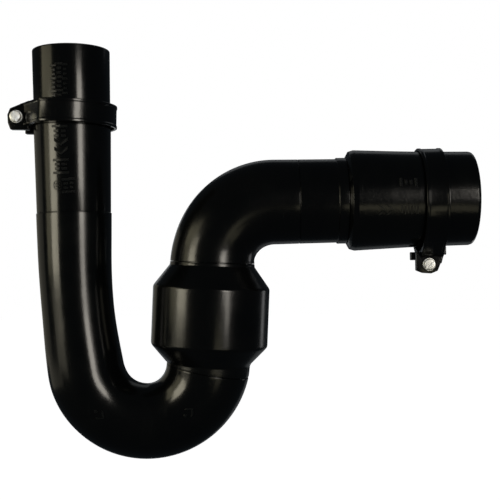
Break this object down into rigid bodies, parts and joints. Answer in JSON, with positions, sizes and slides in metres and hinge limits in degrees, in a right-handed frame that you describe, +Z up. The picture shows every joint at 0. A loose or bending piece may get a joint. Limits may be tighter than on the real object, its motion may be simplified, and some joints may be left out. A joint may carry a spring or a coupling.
{
  "type": "p trap",
  "caption": "Black plastic P trap: upright clamped inlet socket, U bend, enlarged seal chamber in the riser, elbow and level clamped outlet socket.",
  "frame": {"origin": "centre of the inlet socket's mouth", "axes": "+Z up, along the inlet socket's axis and out of its mouth; +X along the outlet socket's axis and out of its mouth; +Y away from the clamp screws' heads"},
  "size_m": [0.2883, 0.0732, 0.2572],
  "materials": {
    "trap_body": "black moulded plastic, satin gloss with a fine mould grain",
    "clamp_band": "black moulded plastic, slightly duller than the body",
    "seal_sleeve": "matt black elastomer",
    "zinc_steel": "bright zinc plate"
  },
  "bodies": {
    "trap": {"inlet_tube": "trap_body", "return_bend": "trap_body", "seal_chamber": "trap_body", "outlet_elbow": "trap_body", "outlet_tube": "trap_body", "outlet_socket": "trap_body", "inlet_seal_sleeve": "seal_sleeve", "outlet_seal_sleeve": "seal_sleeve"},
    "inlet_clamp": {"inlet_clamp_band": "clamp_band", "inlet_clamp_nut": "zinc_steel"},
    "inlet_washer": {"inlet_clamp_washer": "zinc_steel"},
    "inlet_screw": {"inlet_clamp_screw": "zinc_steel"},
    "outlet_clamp": {"outlet_clamp_band": "clamp_band", "outlet_clamp_nut": "zinc_steel"},
    "outlet_washer": {"outlet_clamp_washer": "zinc_steel"},
    "outlet_screw": {"outlet_clamp_screw": "zinc_steel"}
  },
  "joints": [
    {"name": "inlet_clamp_swivel", "type": "hinge", "parent": "trap", "child": "inlet_clamp", "pos_m": [0, 0, -0.0411], "axis": [0, 0, 1], "continuous": true},
    {"name": "inlet_screw_travel", "type": "slide", "parent": "inlet_clamp", "child": "inlet_washer", "axis": [0, -1, 0], "range_m": [0, 0.005]},
    {"name": "inlet_screw_turn", "type": "hinge", "parent": "inlet_washer", "child": "inlet_screw", "pos_m": [-0.03315, 0, -0.04182], "axis": [0, -1, 0], "range_deg": [0, 2572]},
    {"name": "outlet_clamp_swivel", "type": "hinge", "parent": "trap", "child": "outlet_clamp", "pos_m": [0.2232, 0, -0.0974], "axis": [1, 0, 0], "continuous": true},
    {"name": "outlet_screw_travel", "type": "slide", "parent": "outlet_clamp", "child": "outlet_washer", "axis": [0, -1, 0], "range_m": [0, 0.005]},
    {"name": "outlet_screw_turn", "type": "hinge", "parent": "outlet_washer", "child": "outlet_screw", "pos_m": [0.2213, 0, -0.13835], "axis": [0, -1, 0], "range_deg": [0, 2572]}
  ],
  "couplings": [
    {"joint": "inlet_screw_turn", "follows": "inlet_screw_travel", "rad_per_m": 8976},
    {"joint": "outlet_screw_turn", "follows": "outlet_screw_travel", "rad_per_m": 8976}
  ]
}
